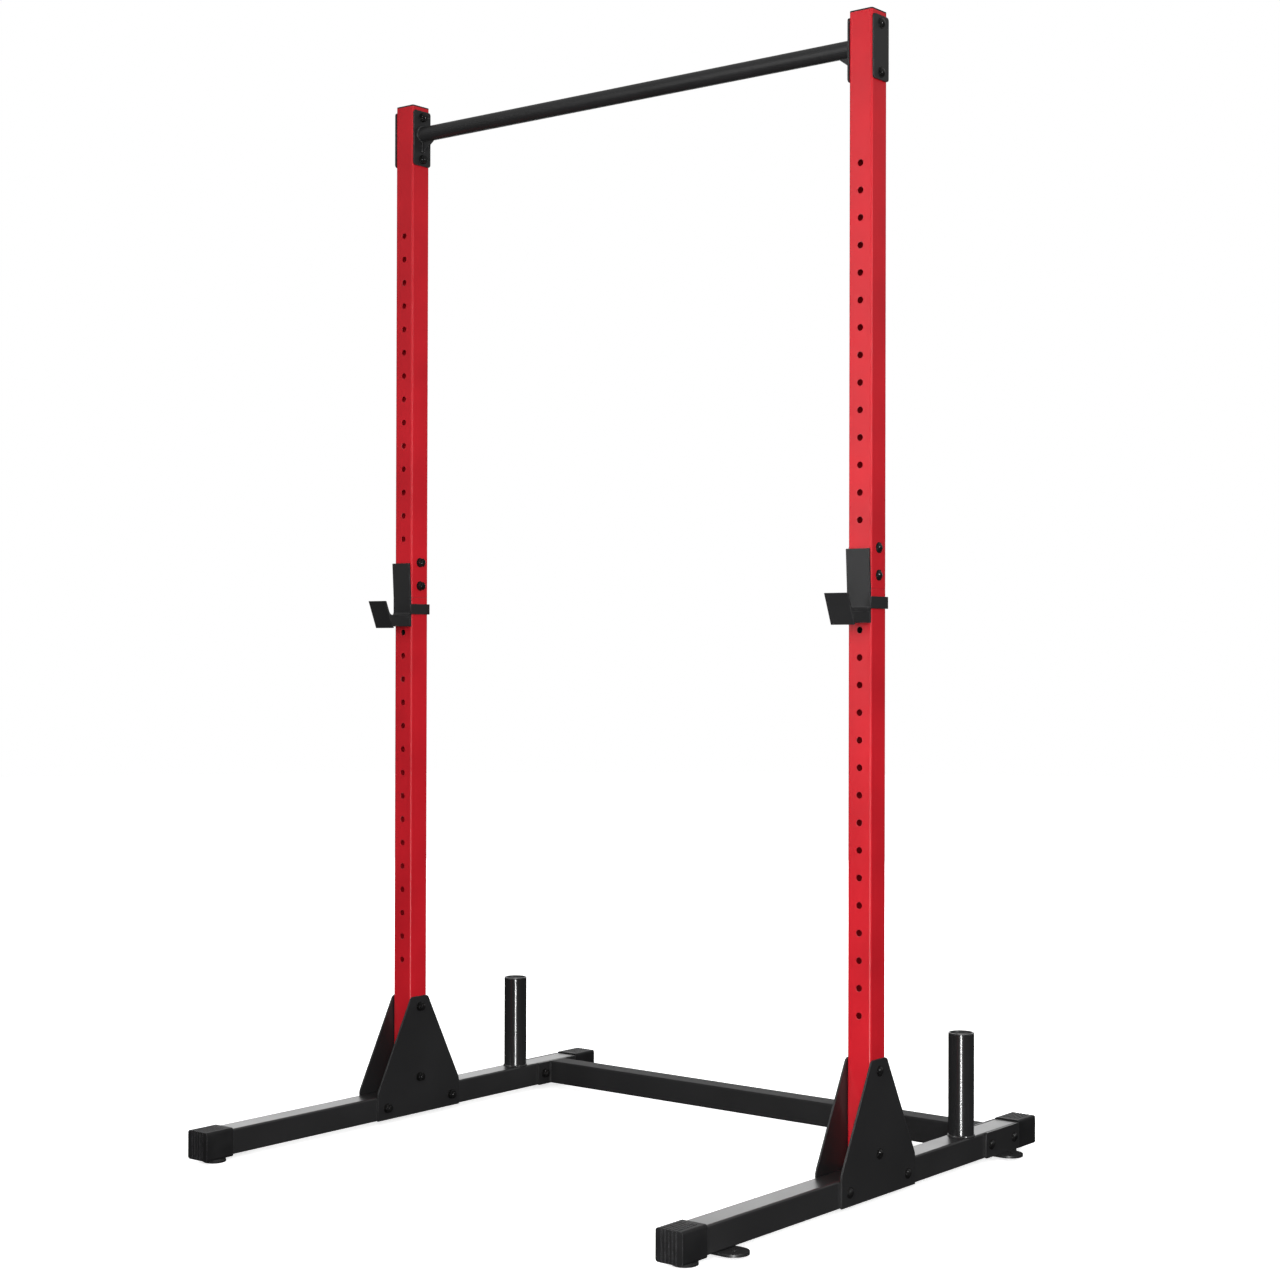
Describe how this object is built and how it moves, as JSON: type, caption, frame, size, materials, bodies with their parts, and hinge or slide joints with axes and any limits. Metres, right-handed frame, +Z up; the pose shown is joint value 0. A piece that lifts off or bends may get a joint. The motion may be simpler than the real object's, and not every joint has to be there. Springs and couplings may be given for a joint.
{
  "type": "squat stand with pull-up bar",
  "caption": "Two drilled square uprights on floor runners, joined by a round pull-up bar and a rear crossbar, with lift-off bar hooks and plate posts.",
  "frame": {"origin": "on the floor, midway between the uprights and midway between the runners' ends", "axes": "+Z up, the hooks face -Y, and the pull-up bar runs along X"},
  "size_m": [1.2898, 1.17, 2.1695],
  "materials": {
    "red_powder_coat": "satin powder coat with a fine orange peel",
    "black_powder_coat": "satin powder coat with a fine texture",
    "black_fasteners": "black zinc",
    "bare_dark_steel": "dark phosphate",
    "black_plastic": "moulded, finely grained",
    "rubber": "matt"
  },
  "bodies": {
    "frame": {"base_tube_left": "black_powder_coat", "base_tube_right": "black_powder_coat", "front_cap_left": "black_plastic", "front_cap_right": "black_plastic", "rear_cap_left": "black_plastic", "rear_cap_right": "black_plastic", "foot_pads": "rubber", "floor_tabs_left": "black_powder_coat", "floor_tabs_right": "black_powder_coat", "lower_upright_left": "red_powder_coat", "lower_upright_right": "red_powder_coat", "upper_upright_left": "red_powder_coat", "upper_upright_right": "red_powder_coat", "splice_sleeve_left": "bare_dark_steel", "splice_sleeve_right": "bare_dark_steel", "top_plug_left": "black_plastic", "top_plug_right": "black_plastic", "gusset_outer_left": "black_powder_coat", "gusset_inner_left": "black_powder_coat", "gusset_outer_right": "black_powder_coat", "gusset_inner_right": "black_powder_coat", "gusset_bolts_left": "black_fasteners", "gusset_bolts_right": "black_fasteners", "gusset_nuts_left": "black_fasteners", "gusset_nuts_right": "black_fasteners", "splice_bolts": "black_fasteners", "splice_nuts": "black_fasteners", "washers_left": "black_fasteners", "washers_right": "black_fasteners", "pull_up_bar": "black_powder_coat", "bar_end_plate_left": "black_powder_coat", "bar_end_plate_right": "black_powder_coat", "bar_web_left": "black_powder_coat", "bar_web_right": "black_powder_coat", "bar_backing_plate_left": "black_powder_coat", "bar_backing_plate_right": "black_powder_coat", "bar_bolts": "black_fasteners", "bar_nuts": "black_fasteners", "rear_crossbar": "black_powder_coat", "crossbar_end_plate_left": "black_powder_coat", "crossbar_end_plate_right": "black_powder_coat", "crossbar_backing_plate_left": "black_powder_coat", "crossbar_backing_plate_right": "black_powder_coat", "crossbar_bolts": "black_fasteners", "crossbar_nuts": "black_fasteners", "plate_post_left": "black_powder_coat", "plate_post_right": "black_powder_coat", "post_plug_left": "black_plastic", "post_plug_right": "black_plastic"},
    "hook_left": {"hook_strip_left": "black_powder_coat", "hook_webs_left": "black_powder_coat", "hook_strap_left": "black_powder_coat", "hook_pin_left": "bare_dark_steel"},
    "hook_right": {"hook_strip_right": "black_powder_coat", "hook_webs_right": "black_powder_coat", "hook_strap_right": "black_powder_coat", "hook_pin_right": "bare_dark_steel"}
  },
  "joints": [
    {"name": "left_hook_pull", "type": "slide", "parent": "frame", "child": "hook_left", "axis": [0, -1, 0], "range_m": [0, 0.08]},
    {"name": "right_hook_pull", "type": "slide", "parent": "frame", "child": "hook_right", "axis": [0, -1, 0], "range_m": [0, 0.08]}
  ]
}
